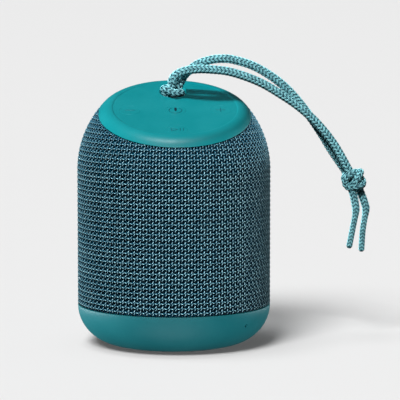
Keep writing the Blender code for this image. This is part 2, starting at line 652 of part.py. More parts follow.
def make_lanyard():
    """The cord hitched round the bar, its two strands, the knot and the two tails."""
    hitch = turned("lanyard_hitch", "cord", [
        (0, 30.2), (3.5, 29.9), (5.1, 28.6), (5.1, 19.6), (4.2, CUP_FLOOR_H + GAP), (0, CUP_FLOOR_H + GAP),
    ], DECK @ at(0, ANCHOR_V))
    cut(hitch, rod("cut_hitch", None, BAR_R + GAP, -10, 10, DECK @ at(0, ANCHOR_V, BAR_H) @ ALONG_X, 16))
    tube("lanyard_strand_left", "cord", STRAND_LEFT, CORD_D)
    tube("lanyard_strand_right", "cord", STRAND_RIGHT, CORD_D)
    mesh = bpy.data.meshes.new("lanyard_knot")
    shape = bmesh.new()
    bmesh.ops.create_uvsphere(shape, u_segments=14, v_segments=9, radius=MM)
    bmesh.ops.scale(shape, vec=Vector(KNOT_SEMI_AXES), verts=shape.verts)
    shape.to_mesh(mesh)
    shape.free()
    shade(mesh)
    add_object("lanyard_knot", mesh, "cord", at(*KNOT))
    tube("lanyard_tail_left", "cord", TAIL_LEFT, TAIL_D, TAIL_END_D, spacing=4.0)
    tube("lanyard_tail_right", "cord", TAIL_RIGHT, TAIL_D, TAIL_END_D, spacing=4.0)


make_fabric()
make_cage()
make_top_skin()
make_buttons()
make_top_frame()
make_anchor()
make_main_board()
make_enclosure()
make_lid()
make_driver()
make_radiator()
make_battery()
make_leads()
make_base()
make_port()
make_screws()
make_lanyard()
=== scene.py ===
"""Looks of the portable speaker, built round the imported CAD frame.

Sizes are in millimetres and become metres when a mesh or a matrix is made. Two frames are used: the upright
one, and the deck frame (u right, v rearward, h up), whose origin is the dome's centre.
"""

import json
import math

import bmesh
import bpy
import numpy as np
from mathutils import Matrix, Vector

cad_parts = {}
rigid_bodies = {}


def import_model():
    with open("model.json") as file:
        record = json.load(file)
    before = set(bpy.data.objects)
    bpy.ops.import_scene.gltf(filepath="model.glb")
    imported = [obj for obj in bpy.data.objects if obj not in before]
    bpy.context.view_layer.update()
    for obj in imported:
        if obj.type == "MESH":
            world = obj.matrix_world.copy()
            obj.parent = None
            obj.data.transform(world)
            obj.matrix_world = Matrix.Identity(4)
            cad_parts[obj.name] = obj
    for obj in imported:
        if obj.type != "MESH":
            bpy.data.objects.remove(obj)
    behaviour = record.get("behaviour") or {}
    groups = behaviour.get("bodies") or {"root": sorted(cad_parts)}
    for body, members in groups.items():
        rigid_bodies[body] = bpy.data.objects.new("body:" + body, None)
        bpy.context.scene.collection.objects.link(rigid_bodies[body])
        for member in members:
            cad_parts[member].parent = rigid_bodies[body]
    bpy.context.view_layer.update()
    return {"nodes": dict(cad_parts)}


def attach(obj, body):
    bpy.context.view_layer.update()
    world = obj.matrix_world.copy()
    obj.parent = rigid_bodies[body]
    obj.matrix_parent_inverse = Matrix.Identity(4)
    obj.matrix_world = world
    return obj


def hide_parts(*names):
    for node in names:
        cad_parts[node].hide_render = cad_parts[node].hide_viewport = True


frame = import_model()

MM = 0.001
BODY = "speaker_body"

# Outer shape, as in the CAD
BODY_R = 40.0
DOME_Z = 73.0
TILT = math.radians(21.1)
SEAM_Z = 17.0
BASE_R = 22.6
BASE_Z = 0.5
SKIN_EDGE_H = 24.7
DECK_H = 28.0
RIM_R = 6.0
SKIN_T = 1.8
BUTTONS = {"power": (0.0, -2.6), "plus": (18.5, -2.3), "minus": (-18.5, -2.3), "play": (0.0, -20.9)}
BUTTON_R = 4.2
ANCHOR_V = 16.0
ANCHOR_R = 5.5

# Lanyard, as in the CAD
CORD_D = 3.8
TAIL_D = 3.2
TAIL_END_D = 2.5
STRAND_LEFT = [
    (-0.7, 3.7, 108.1), (-0.3, 3.7, 109.9), (0.8, 3.7, 111.4), (2.5, 3.6, 112.5), (4.7, 3.5, 113.3),
    (7.1, 3.5, 113.8), (10.5, 3.5, 114.1), (14.4, 3.5, 114.0), (22.3, 3.5, 113.2), (29.9, 3.5, 111.0),
    (37.3, 3.5, 107.9), (44.1, 3.5, 103.9), (50.9, 3.5, 99.4), (56.6, 3.5, 94.7), (62.0, 3.6, 89.1),
    (66.9, 3.7, 82.8), (71.0, 3.8, 76.0), (72.7, 3.9, 72.8),
]
STRAND_RIGHT = [
    (3.0, 6.4, 108.4), (3.8, 7.0, 109.9), (5.2, 7.6, 111.8), (7.5, 8.0, 113.9), (10.1, 8.1, 115.8),
    (13.4, 8.1, 117.1), (17.3, 8.0, 118.0), (21.2, 8.0, 118.2), (25.1, 8.0, 117.8), (32.8, 8.0, 115.5),
    (40.0, 8.0, 111.6), (46.5, 8.0, 106.7), (52.0, 8.0, 100.9), (57.4, 8.0, 94.0), (62.2, 8.0, 87.0),
    (66.4, 8.0, 80.1), (70.9, 8.0, 73.5), (72.1, 8.0, 71.8),
]
TAIL_LEFT = [(75.4, 5.0, 61.8), (76.3, 4.9, 57.7), (76.6, 4.9, 53.9), (75.4, 4.9, 47.2), (73.8, 4.9, 38.7)]
TAIL_RIGHT = [(78.7, 7.0, 62.6), (80.6, 7.0, 57.6), (81.1, 6.9, 54.2), (79.9, 6.8, 46.2), (79.3, 6.7, 37.0)]


# ---- camera, floor and light

CAMERA_AZ = math.radians(-2.825)
CAMERA_DISTANCE = 900.0
CAMERA_HEIGHT = 153.83
CAMERA_YAW = math.radians(-3.514)
CAMERA_PITCH = math.radians(5.952)
CAMERA_LENS = 196.26


def add_object(name, data):
    obj = bpy.data.objects.new(name, data)
    bpy.context.scene.collection.objects.link(obj)
    return obj


def make_camera():
    data = bpy.data.cameras.new("camera")
    data.lens = CAMERA_LENS
    data.sensor_width = 36.0
    data.clip_start = 0.05
    data.clip_end = 60.0
    camera = add_object("camera", data)
    level = Vector((-math.sin(CAMERA_YAW), math.cos(CAMERA_YAW), 0))
    ahead = level * math.cos(CAMERA_PITCH) - Vector((0, 0, math.sin(CAMERA_PITCH)))
    right = Vector((math.cos(CAMERA_YAW), math.sin(CAMERA_YAW), 0))
    up = right.cross(ahead)
    turn = Matrix((right, up, -ahead)).transposed().to_4x4()
    aside, back = math.sin(CAMERA_AZ) * CAMERA_DISTANCE, -math.cos(CAMERA_AZ) * CAMERA_DISTANCE
    camera.matrix_world = Matrix.Translation(Vector((aside, back, CAMERA_HEIGHT)) * MM) @ turn
    bpy.context.scene.camera = camera


FLOOR_HALF = 40.0  # metres
WORLD_STRENGTH = 0.05
BACKDROP_STRENGTH = 0.86  # past the floor's edge, as bright as the floor

# What each group of lamps lights, by how the pieces' names start; cloth is all the rest
LIT = {
    "top": ("top_skin", "pad_", "symbol_", "power_window"), "cords": ("cord_",),
    "base": ("base_", "port_flap", "light_pipe"),
}
# Direction, spread in degrees, strength, and the groups lit
SUNS = {
    "floor_sun": ((0.42, 0.9, -1.0), 24, 3.1, "stage"),
    "floor_top": ((0.22, 0.05, -1.0), 24, 0.7, "stage"),
    "floor_fill": ((0, 0, -1), 30, 0.42, "stage"),
    "rim_bounce": ((0.08, 1.0, 0.2), 20, 2.7, "top"),
    "base_bounce": ((0.1, 0.8, 1.0), 60, 0.9, "base"),
    "key": ((0.8, -0.44, -1.0), 7, 4.1, "top cords"),
}
SHADOWLESS = ("floor_fill", "rim_bounce", "base_bounce")
# Place and the height on the axis aimed at, size, power in watts, and the groups lit
SOFTBOXES = {
    "front_softbox": ((-0.3, -0.6, 1.35), 0.06, (0.4, 0.3), 63.0, "cloth"),
    "gleam": ((-0.16, -0.62, 0.95), 0.09, (0.42, 0.22), 11.0, "top cords base cloth"),
    "cord_softbox": ((-0.3, -1.0, 1.1), 0.1, (0.45, 0.35), 29.0, "cords"),
    "side_softbox": ((1.0, -0.6, 0.35), 0.06, (0.5, 0.4), 4.0, "cloth"),
    "top_softbox": ((-0.15, -0.1, 1.1), 0.08, (0.6, 0.5), 0.8, "cords base cloth"),
    "rear_softbox": ((0.0, 1.3, 0.14), 0.06, (0.8, 0.3), 20.0, "cords cloth"),
    "rim_right": ((0.85, 0.35, 0.15), 0.1, (1.0, 0.4), 3.0, "top"),
    "front_card": ((-0.1, -0.9, 0.3), 0.02, (1.2, 0.2), 4.8, "base"),
    "left_card": ((-0.85, 0.35, 0.15), 0.02, (1.0, 0.4), 14.0, "base"),
    "right_card": ((0.85, 0.35, 0.15), 0.04, (1.0, 0.4), 5.5, "base"),
}


def make_floor():
    """A wide pale floor."""
    mesh = bpy.data.meshes.new("studio_floor")
    corners = ((-1, -1), (1, -1), (1, 1), (-1, 1))
    mesh.from_pydata([(x * FLOOR_HALF, y * FLOOR_HALF, 0) for x, y in corners], [], [(0, 1, 2, 3)])
    floor = add_object("studio_floor", mesh)
    mesh.materials.append(floor_material())
    floor.visible_diffuse = floor.visible_glossy = False
    return floor


def make_world():
    """A dim even light, with a bright backdrop that only the camera sees."""
    scene = bpy.context.scene
    scene.view_settings.view_transform = "Standard"
    scene.world = bpy.data.worlds.new("studio")
    scene.world.use_nodes = True
    nodes, links = scene.world.node_tree.nodes, scene.world.node_tree.links
    seen, mixed = nodes.new("ShaderNodeLightPath"), nodes.new("ShaderNodeMixShader")
    links.new(seen.outputs["Is Camera Ray"], mixed.inputs["Fac"])
    shades = ((nodes["Background"], WORLD_STRENGTH), (nodes.new("ShaderNodeBackground"), BACKDROP_STRENGTH))
    for place, (shade, strength) in enumerate(shades, 1):
        shade.inputs["Color"].default_value = (1, 1, 1, 1)
        shade.inputs["Strength"].default_value = strength
        links.new(shade.outputs["Background"], mixed.inputs[place])
    links.new(mixed.outputs["Shader"], nodes["World Output"].inputs["Surface"])


def make_lights(floor):
    """Lamps that each light only their own groups, with a twin of the lamp for each group after the first:
    suns and a fill for the floor, a hard key from behind the left shoulder for the deck and the cord, bounce
    light from below for the rim and the base, and softboxes and cards round the rest."""
    scene = bpy.context.scene
    groups = {part: bpy.data.collections.new("lit_" + part) for part in ("stage", *LIT, "cloth")}
    for obj in scene.objects:
        if obj.type == "MESH":
            part = next((part for part, starts in LIT.items() if obj.name.startswith(starts)), "cloth")
            groups["stage" if obj == floor else part].objects.link(obj)
    for obj in groups["base"].objects:
        obj.visible_diffuse = False
    lamps = {}
    for name, (direction, spread, strength, parts) in SUNS.items():
        data = bpy.data.lights.new(name, "SUN")
        data.angle, data.energy = math.radians(spread), strength
        data.use_shadow = name not in SHADOWLESS
        lamps[name] = add_object(name, data), Vector(direction), parts
    for name, (place, aim, size, power, parts) in SOFTBOXES.items():
        data = bpy.data.lights.new(name, "AREA")
        data.shape = "RECTANGLE"
        data.size, data.size_y = size
        data.energy = power
        lamps[name] = add_object(name, data), Vector((0, 0, aim)) - Vector(place), parts
        lamps[name][0].location = place
    for name, (lamp, direction, parts) in lamps.items():
        lamp.rotation_euler = direction.to_track_quat("-Z", "Y").to_euler()
        lamp.visible_glossy = name not in ("key", "front_softbox")
        lamp.visible_diffuse = name != "gleam"
        for twin, part in enumerate(parts.split()):
            if twin:
                lamp = lamp.copy()
                scene.collection.objects.link(lamp)
            lamp.light_linking.receiver_collection = groups[part]


# ---- materials


def linear(red, green, blue):
    """An sRGB colour of 0 to 255 as linear light."""
    return tuple(
        c / 255 / 12.92 if c <= 10 else ((c / 255 + 0.055) / 1.055) ** 2.4 for c in (red, green, blue)
    ) + (1.0,)


class Nodes:
    """A material's node tree, with short names for the nodes used here."""

    def __init__(self, name, **sockets):
        self.material = bpy.data.materials.new(name)
        self.material.use_nodes = True
        self.tree = self.material.node_tree
        self.shader = self.tree.nodes["Principled BSDF"]
        for socket, value in sockets.items():
            self.shader.inputs[socket.replace("_", " ")].default_value = value

    def node(self, kind, **values):
        node = self.tree.nodes.new("ShaderNode" + kind)
        for key, value in values.items():
            if key in node.inputs:
                node.inputs[key].default_value = value
            else:
                setattr(node, key, value)
        return node

    def put(self, value, socket):
        """Links a socket to this one, or sets a plain value on it."""
        if isinstance(value, bpy.types.NodeSocket):
            self.tree.links.new(value, socket)
        else:
            socket.default_value = value

    def place(self, scale=(1, 1, 1)):
        """Object coordinates in millimetres, stretched by scale."""
        coordinates = self.node("TexCoord")
        mapping = self.node("Mapping", Scale=[s / MM for s in scale])
        self.put(coordinates.outputs["Object"], mapping.inputs["Vector"])
        return mapping.outputs["Vector"]

    def noise(self, scale, detail=2.0, stretch=(1, 1, 1), rough=0.5):
        """Noise with this many features in a millimetre."""
        noise = self.node("TexNoise", Scale=scale, Detail=detail, Roughness=rough)
        self.put(self.place(stretch), noise.inputs["Vector"])
        return noise.outputs["Fac"]

    def attribute(self, name):
        return self.node("Attribute", attribute_name=name).outputs["Fac"]

    def ramp(self, value, stops):
        """Colours or greys at places from 0 to 1."""
        ramp = self.node("ValToRGB")
        elements = ramp.color_ramp.elements
        while len(elements) < len(stops):
            elements.new(0.5)
        for element, (position, colour) in zip(elements, stops):
            element.position = position
            element.color = colour if hasattr(colour, "__len__") else (colour, colour, colour, 1)
        self.put(value, ramp.inputs["Fac"])
        return ramp.outputs["Color"]

    def mix(self, factor, first, second):
        """Two colours mixed by a factor."""
        mix = self.node("Mix", data_type="RGBA")
        for value, place in ((factor, 0), (first, 6), (second, 7)):  # the factor and the two colour sockets
            self.put(value, mix.inputs[place])
        return mix.outputs[2]

    def blend(self, value, low, high, first, second, most=1.0):
        """From one colour toward another as a value goes from low to high."""
        return self.mix(self.ramp(value, [(low, 0.0), (high, most)]), first, second)

    def math(self, operation, first, second=0.0):
        node = self.node("Math", operation=operation)
        for socket, value in zip(node.inputs, (first, second)):
            self.put(value, socket)
        return node.outputs[0]

    def colour(self, source):
        self.put(source, self.shader.inputs["Base Color"])

    def roughness(self, value, low, high):
        """Roughness from low to high as value goes from 0 to 1."""
        node = self.node("MapRange", **{"To Min": low, "To Max": high})
        self.put(value, node.inputs["Value"])
        self.put(node.outputs["Result"], self.shader.inputs["Roughness"])

    def bump(self, height, distance, strength=1.0):
        """The finished material, with bump from a height of 0 to 1 that stands for this many millimetres."""
        bump = self.node("Bump", Strength=strength, Distance=distance * MM)
        self.put(height, bump.inputs["Height"])
        self.put(bump.outputs["Normal"], self.shader.inputs["Normal"])
        return self.material


def floor_material():
    nodes = Nodes("studio_floor", Roughness=0.9)
    grain = nodes.noise(0.02)
    nodes.colour(nodes.ramp(grain, [(0.0, 0.800), (1.0, 0.806)]))
    return nodes.material


def rubber_material(name, colour, worn, roughness):
    """Soft moulded silicone: fine matte grain, slow blotches of tone and a dusting of handling marks."""
    nodes = Nodes(name, Roughness=roughness, IOR=1.4)
    base = nodes.blend(nodes.noise(0.06, 3.0), 0.35, 0.7, colour, worn)
    nodes.colour(nodes.blend(nodes.noise(1.6, 3.0, rough=0.7), 0.62, 0.78, base, worn, 0.18))
    nodes.roughness(nodes.noise(0.35, 4.0), roughness - 0.06, roughness + 0.08)
    return nodes.bump(nodes.noise(7.0, 2.0), 0.012)


def yarn_material(name, light, dark, streak, roughness):
    """Twisted filament yarn: a painted highlight on its crowns and painted shade between them, with streaks
    along the yarn and a tone that changes from yarn to yarn and along it."""
    nodes = Nodes(name, Roughness=roughness, IOR=1.35)
    tone = nodes.math("ADD", nodes.attribute("yarn_tone"), nodes.math("MULTIPLY", nodes.noise(0.5, 2.0), 0.6))
    tone = nodes.math("MULTIPLY", nodes.math("SUBTRACT", tone, 0.8), 0.25)
    # painted light and shade of the yarn, shifted by its random tone
    shade = nodes.math("ADD", nodes.attribute("yarn_lift"), tone)
    base = nodes.ramp(shade, [(0.12, 0.0), (0.45, 0.2), (0.85, 1.0)])
    base = nodes.mix(base, dark, light)
    fibres = nodes.noise(6.0, 3.0, stretch=streak, rough=0.6)
    nodes.colour(nodes.blend(fibres, 0.45, 0.8, base, dark, 0.5))
    nodes.roughness(fibres, roughness - 0.1, roughness + 0.15)
    return nodes.bump(fibres, 0.05, 0.8)


def plain_cloth_material():
    """Near-black open liner cloth with a faint grid."""
    nodes = Nodes("liner", Roughness=0.9, Specular_IOR_Level=0.1)
    grid = nodes.noise(2.5, 2.0)
    nodes.colour(nodes.ramp(grid, [(0.3, linear(0, 34, 54)), (0.7, linear(0, 48, 70))]))
    return nodes.bump(grid, 0.03)


def plastic_material(name, colour, edge, roughness):
    """Moulded plastic with a spark-eroded grain and slightly paler, smoother patches."""
    nodes = Nodes(name, Roughness=roughness)
    nodes.colour(nodes.blend(nodes.noise(0.12, 3.0), 0.4, 0.8, colour, edge, 0.6))
    nodes.roughness(nodes.noise(0.5, 3.0), roughness - 0.08, roughness + 0.1)
    return nodes.bump(nodes.noise(5.0, 3.0), 0.015)


def metal_material(name, colour, dull, roughness, stretch=(1, 1, 1)):
    """Metal with fine drawn lines and a few dull patches."""
    nodes = Nodes(name, Roughness=roughness, Metallic=1.0)
    lines = nodes.noise(4.0, 4.0, stretch=stretch, rough=0.6)
    nodes.colour(nodes.blend(nodes.noise(0.2, 3.0), 0.45, 0.75, colour, dull))
    nodes.roughness(lines, roughness - 0.08, roughness + 0.15)
    return nodes.bump(lines, 0.01, 0.6)


def board_material():
    """Green solder mask with lighter traces under it."""
    nodes = Nodes("circuit_board", Roughness=0.35)
    lines = nodes.node("TexWave", Scale=0.35, Distortion=6.0, Detail=1.0, wave_type="BANDS")
    nodes.put(nodes.place(), lines.inputs["Vector"])
    traces = nodes.ramp(lines.outputs["Fac"], [(0.55, 0.0), (0.62, 1.0)])
    nodes.colour(nodes.mix(traces, linear(12, 70, 40), linear(24, 105, 60)))
    nodes.roughness(nodes.noise(0.6), 0.28, 0.45)
    return nodes.bump(traces, 0.03)


def paper_material():
    """Pressed paper pulp with short pale fibres."""
    nodes = Nodes("paper_pulp", Roughness=0.85)
    fibres = nodes.noise(2.2, 5.0, stretch=(1, 0.3, 1.6), rough=0.75)
    nodes.colour(nodes.blend(fibres, 0.5, 0.68, linear(38, 38, 40), linear(82, 82, 84)))
    return nodes.bump(fibres, 0.05)


# ---- mesh helpers

ROUND_STEPS = 224  # round the object's outline

def deck_points(points):
    """Deck points (u, v, h) as upright ones."""
    u, v, h = np.asarray(points, float).reshape(-1, 3).T
    sin, cos = math.sin(TILT), math.cos(TILT)
    return np.stack([u, v * cos - h * sin, DOME_Z + v * sin + h * cos], axis=1)


def build_mesh(name, points, quads, polygons=(), **attributes):
    """A mesh from points in millimetres, an array of quads, a list of other polygons and point attributes."""
    mesh = bpy.data.meshes.new(name)
    points = np.asarray(points, float)
    quads = np.asarray(quads, np.int32).reshape(-1, 4)
    corners = [quads.reshape(-1), *polygons]
    counts = [4] * len(quads) + [len(p) for p in polygons]
    starts = np.concatenate([[0], np.cumsum(counts)[:-1]]).astype(np.int32)
    mesh.vertices.add(len(points))
    mesh.vertices.foreach_set("co", (points * MM).astype(np.float32).reshape(-1))
    flat = np.concatenate(corners).astype(np.int32)
    mesh.loops.add(len(flat))
    mesh.loops.foreach_set("vertex_index", flat)
    mesh.polygons.add(len(counts))
    mesh.polygons.foreach_set("loop_start", starts)
    mesh.update(calc_edges=True)
    mesh.shade_smooth()
    for attribute, values in attributes.items():
        mesh.attributes.new(attribute, "FLOAT", "POINT").data.foreach_set("value", values.astype(np.float32))
    return mesh


def piece(name, mesh, material, replaces=(), body=BODY):
    """Adds a piece of the object that rides on a body."""
    obj = add_object(name, mesh)
    mesh.materials.clear()
    mesh.materials.append(material)
    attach(obj, body)
    if replaces:
        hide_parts(*replaces)
    return obj


def tube_rings(centres, sides, outs, half_w, half_t, section):
    """Rings of points round a line: section gives (side, out) factors."""
    half_w, half_t = (np.broadcast_to(half, len(centres))[:, None, None] for half in (half_w, half_t))
    return (
        centres[:, None, :]
        + sides[:, None, :] * section[None, :, :1] * half_w
        + outs[:, None, :] * section[None, :, 1:] * half_t
    )


class Tubes:
    """Collects many yarns into one mesh. A yarn's tone goes from 0 (dark) to 1 (light), and its painted light
    from 0 (painted shade deep in the weave) to 1 (painted highlight on its crown)."""

    def __init__(self):
        self.points, self.quads, self.caps, self.tones, self.lifts, self.count = [], [], [], [], [], 0

    def add(self, rings, tone=0.5, lift=0.5, closed=False):
        rows, around = rings.shape[:2]
        index = self.count + np.arange(rows * around).reshape(rows, around)
        low, high = (index, np.roll(index, -1, axis=0)) if closed else (index[:-1], index[1:])
        quads = np.stack([low, np.roll(low, -1, 1), np.roll(high, -1, 1), high], axis=-1)
        edge, along = rings[0, 1] - rings[0, 0], rings[1, 0] - rings[0, 0]
        outward = rings[0, 0] + rings[0, 1] - 2 * rings[0].mean(axis=0)
        inside_out = np.cross(edge, along).dot(outward) < 0
        if inside_out:
            quads = quads[..., ::-1]
        self.quads.append(quads.reshape(-1, 4))
        if not closed:
            self.caps += (index[0], index[-1][::-1]) if inside_out else (index[0][::-1], index[-1])
        self.points.append(rings.reshape(-1, 3))
        for store, value in ((self.tones, tone), (self.lifts, lift)):
            store.append(np.broadcast_to(value, (rows, around)).reshape(-1))
        self.count += rows * around

    def mesh(self, name):
        return build_mesh(
            name, np.concatenate(self.points), np.concatenate(self.quads), self.caps,
            yarn_tone=np.concatenate(self.tones), yarn_lift=np.concatenate(self.lifts),
        )


def polygon_section(count):
    angles = np.radians(90.0 + 360.0 * np.arange(count) / count)
    return np.stack([np.cos(angles), np.sin(angles)], axis=1)


def run(line):
    """How far along the line each of its points is."""
    return np.concatenate([[0], np.cumsum(np.linalg.norm(np.diff(line, axis=0), axis=1))])


def smooth_line(points, spacing):
    """Even points on a Catmull-Rom curve through the given ones."""
    knots = np.asarray(points, float)
    knots = np.vstack([2 * knots[0] - knots[1], knots, 2 * knots[-1] - knots[-2]])
    dense = []
    for a, b, c, d in zip(knots, knots[1:], knots[2:], knots[3:]):
        t = np.linspace(0, 1, 40, endpoint=False)[:, None]
        dense.append(
            b + (c - a) * (t / 2) + (2 * a - 5 * b + 4 * c - d) * (t ** 2 / 2)
            + (3 * b - a - 3 * c + d) * (t ** 3 / 2)
        )
    dense = np.vstack([*dense, knots[-2:-1]])
    lengths = run(dense)
    count = max(2, round(lengths[-1] / spacing)) + 1
    even = np.linspace(0, lengths[-1], count)
    return np.stack([np.interp(even, lengths, dense[:, k]) for k in range(3)], axis=1)


def unit(vectors):
    return vectors / np.linalg.norm(vectors, axis=1)[:, None]


def line_frames(line):
    """Two unit vectors square to the line and to each other, that turn as little as possible."""
    tangents = unit(np.gradient(line, axis=0))
    first = np.cross(tangents[0], (0.0, 1.0, 0.0) if abs(tangents[0][1]) < 0.9 else (1.0, 0.0, 0.0))
    normals = [first / np.linalg.norm(first)]
    for tangent in tangents[1:]:
        normal = normals[-1] - tangent * normals[-1].dot(tangent)
        normals.append(normal / np.linalg.norm(normal))
    normals = np.array(normals)
    return normals, np.cross(tangents, normals)


def ring_quads(steps, around):
    """Quads of a closed profile of this many points, carried round a circle in this many steps."""
    index = np.arange(steps * around).reshape(steps, around)
    nxt = np.roll(index, -1, axis=0)
    return np.stack([index, nxt, np.roll(nxt, -1, 1), np.roll(index, -1, 1)], axis=-1).reshape(-1, 4)


def lathe(profile, steps):
    """Points and quads of a closed profile of (radius, height) turned about the vertical axis."""
    profile = np.asarray(profile, float)
    angles = 2 * math.pi * np.arange(steps) / steps
    x = np.cos(angles)[:, None] * profile[:, 0]
    y = np.sin(angles)[:, None] * profile[:, 0]
    z = np.broadcast_to(profile[:, 1], x.shape)
    return np.stack([x, y, z], axis=-1).reshape(-1, 3), ring_quads(steps, len(profile))


def bake(shape, name):
    """A mesh of this bmesh, which is then freed."""
    mesh = bpy.data.meshes.new(name)
    shape.to_mesh(mesh)
    shape.free()
    return mesh


def smooth(mesh, sharp):
    """Smooth shading but for the corners sharper than this many degrees."""
    mesh.shade_smooth()
    mesh.set_sharp_from_angle(angle=math.radians(sharp))
    return mesh


def finish_mesh(name, points, quads, sharp=40.0):
    """A mesh with its doubled points merged, its faces turned outward and its hard corners kept sharp."""
    shape = bmesh.new()
    shape.from_mesh(build_mesh(name + "_raw", points, quads))
    bmesh.ops.remove_doubles(shape, verts=shape.verts, dist=2e-6)
    bmesh.ops.dissolve_degenerate(shape, edges=shape.edges, dist=1e-7)
    bmesh.ops.recalc_face_normals(shape, faces=shape.faces)
    return smooth(bake(shape, name), sharp)


def turned(name, profile, steps=160, at_deck=None, sharp=40.0):
    """A closed turned mesh, upright or square to the deck at a point (u, v) of it."""
    points, quads = lathe(profile, steps)
    if at_deck:
        points = deck_points(points + (*at_deck, 0.0))
    return finish_mesh(name, points, quads, sharp)


def fillet(corner, before, after, radius):
    """Points that round the corner of a profile between its two neighbours."""
    one, two = unit(np.subtract((before, after), corner))
    half = math.acos(np.clip(one.dot(two), -1, 1)) / 2
    reach = radius / math.tan(half)
    middle = corner + (one + two) / np.linalg.norm(one + two) * (radius / math.sin(half))
    start, end = corner + one * reach - middle, corner + two * reach - middle
    sweep = math.pi - 2 * half
    points = []
    for t in np.linspace(0, 1, 5):
        a, b = math.sin((1 - t) * sweep), math.sin(t * sweep)
        points.append(middle + (start * a + end * b) / math.sin(sweep))
    return [tuple(p) for p in points]


def rounded_profile(corners):
    """A closed profile from (radius, height, fillet) corners."""
    points = []
    for i, (x, y, radius) in enumerate(corners):
        before, after = corners[i - 1][:2], corners[i + 1 - len(corners)][:2]
        points += fillet((x, y), before, after, radius) if radius else [(x, y)]
    return points


def boolean(mesh, cutters, operation="DIFFERENCE"):
    """The mesh cut by, or joined to, other meshes."""
    base = add_object("boolean_base", mesh)
    others = [add_object("boolean_cutter", cutter) for cutter in cutters]
    for other in others:
        modifier = base.modifiers.new("cut", "BOOLEAN")
        modifier.operation = operation
        modifier.solver = "EXACT"
        modifier.object = other
    graph = bpy.context.evaluated_depsgraph_get()
    result = bpy.data.meshes.new_from_object(base.evaluated_get(graph))
    for other in [base, *others]:
        bpy.data.objects.remove(other)
    return smooth(result, 35)


def rod_mesh(radius, low, high, place=Matrix(), steps=48):
    shape = bmesh.new()
    bmesh.ops.create_cone(
        shape, cap_ends=True, segments=steps, radius1=radius * MM, radius2=radius * MM,
        depth=(high - low) * MM, matrix=place @ Matrix.Translation((0, 0, (low + high) / 2 * MM)),
    )
    return bake(shape, "rod")


def block_mesh(size, centre, corner=0.0, axis=1):
    """A box whose edges along one axis are rounded."""
    shape = bmesh.new()
    bmesh.ops.create_cube(shape, size=1.0)
    bmesh.ops.scale(shape, vec=Vector(size) * MM, verts=shape.verts)
    if corner:
        along = [e for e in shape.edges if abs((e.verts[0].co - e.verts[1].co)[axis]) > size[axis] * MM / 2]
        bmesh.ops.bevel(shape, geom=along, offset=corner * MM, segments=8, profile=0.5, affect="EDGES")
    bmesh.ops.translate(shape, vec=Vector(centre) * MM, verts=shape.verts)
    return bake(shape, "block")


def at(x, y, z=0.0):
    return Matrix.Translation((x * MM, y * MM, z * MM))


# ---- woven sleeve

WARPS = 192
ROW = 1.988  # height from one level yarn to the next
CLOTH_R = 39.5
CLOTH_LOW_Z = SEAM_Z + 0.3
STRAIGHT = DOME_Z - CLOTH_LOW_Z  # height of the sleeve's straight part
CLOTH_EDGE_H = 24.38
# Each yarn is two plies twisted to the right: half width and thickness of a ply, how far it is from the
# yarn's middle sideways and outward, and how far the yarn itself waves in and out
WARP_PLY = (0.225, 0.18, 0.25, 0.12, 0.30)
WEFT_PLY = (0.20, 0.16, 0.17, 0.09, 0.24)
WARP_DIVE, WEFT_DIVE = 0.6, 0.35  # how much of its painted light a yarn keeps where it goes under another; the rest is painted shade
WARP_SHARES, WEFT_SHARES = 4, 3  # pieces that the yarns of each way are shared between
WARP_TWIST = ROW * 4 / 3  # length of a whole turn of the upright yarns' plies
WARP_TWIST_START = 0.125  # how far over each crossing the plies cross too
WEFT_TWIST_SHIFT = 0.08


def cloth_frame(theta, s):
    """On the sleeve at this angle from the front and this length up from its lower edge: the point of the
    axis or dome centre that it stands off from, and unit vectors to the side, outward and upward."""
    theta, s = np.broadcast_arrays(np.asarray(theta, float), np.asarray(s, float))
    tip = np.maximum(s - STRAIGHT, 0) / BODY_R
    around = np.stack([np.sin(theta), -np.cos(theta), np.zeros_like(theta)], axis=-1)
    side = np.stack([np.cos(theta), np.sin(theta), np.zeros_like(theta)], axis=-1)
    up = np.zeros_like(around)
    up[..., 2] = 1.0
    cos, sin = np.cos(tip)[..., None], np.sin(tip)[..., None]
    root = up * np.minimum(CLOTH_LOW_Z + s, DOME_Z)[..., None]
    return root, side, around * cos + up * sin, up * cos - around * sin


def cloth_top(theta):
    """How far up the sleeve reaches at this angle, where the slanted top cuts it off."""
    a, b = np.cos(theta) * math.sin(TILT), math.cos(TILT)
    tip = np.arcsin(CLOTH_EDGE_H / CLOTH_R / np.hypot(a, b)) - np.arctan2(a, b)
    return STRAIGHT + tip * BODY_R


# how much painted shade darkens the yarns where the cloth turns over the shoulder
SHOULDER_PAINTED_SHADE = 0.4


def ply_painted_light(turn, wave, section, dive, out):
    """Painted light for each point of a ply, by how far forward it is: from 0, painted shade behind, to 1, a
    painted highlight on the crown of a yarn on top. It gets more painted shade where it dives and over the
    shoulder."""
    face = np.clip(0.3 + 0.7 * section[None, :, 1], 0, 1)
    front = np.clip(0.3 + 0.9 * np.cos(turn), 0, 1) * (dive + (1 - dive) * wave)
    return face * (front * (1 - SHOULDER_PAINTED_SHADE * np.clip(1.6 * out[:, 2], 0, 1)))[:, None]


def add_yarn(tubes, rng, places, hand, turn, wave, shape, shakes, dive, narrow=1.0, closed=False):
    """A yarn of two plies along the cloth. Places are the points it stands off from and the vectors across
    it and outward, turn is how far its first ply has twisted, and wave is how far in or out it lies."""
    root, across, out = places
    half_w, half_t, side_r, out_r, wave_r = shape
    drift = rng.normal(0, shakes[0])
    tone = rng.uniform(0.25, 0.75)
    for turn in (turn, turn + math.pi):
        aside = (drift - hand * side_r * np.sin(turn) + rng.normal(0, shakes[1], len(turn))) * narrow
        away = CLOTH_R + wave_r * wave + out_r * np.cos(turn)
        centres = root + out * away[:, None] + across * aside[:, None]
        section = polygon_section(4)
        rings = tube_rings(centres, hand * across, out, half_w * narrow, half_t, section)
        lift = ply_painted_light(turn, wave, section, dive, out)
        tubes.add(rings, (tone + rng.normal(0, 0.12, len(turn)))[:, None], lift, closed=closed)


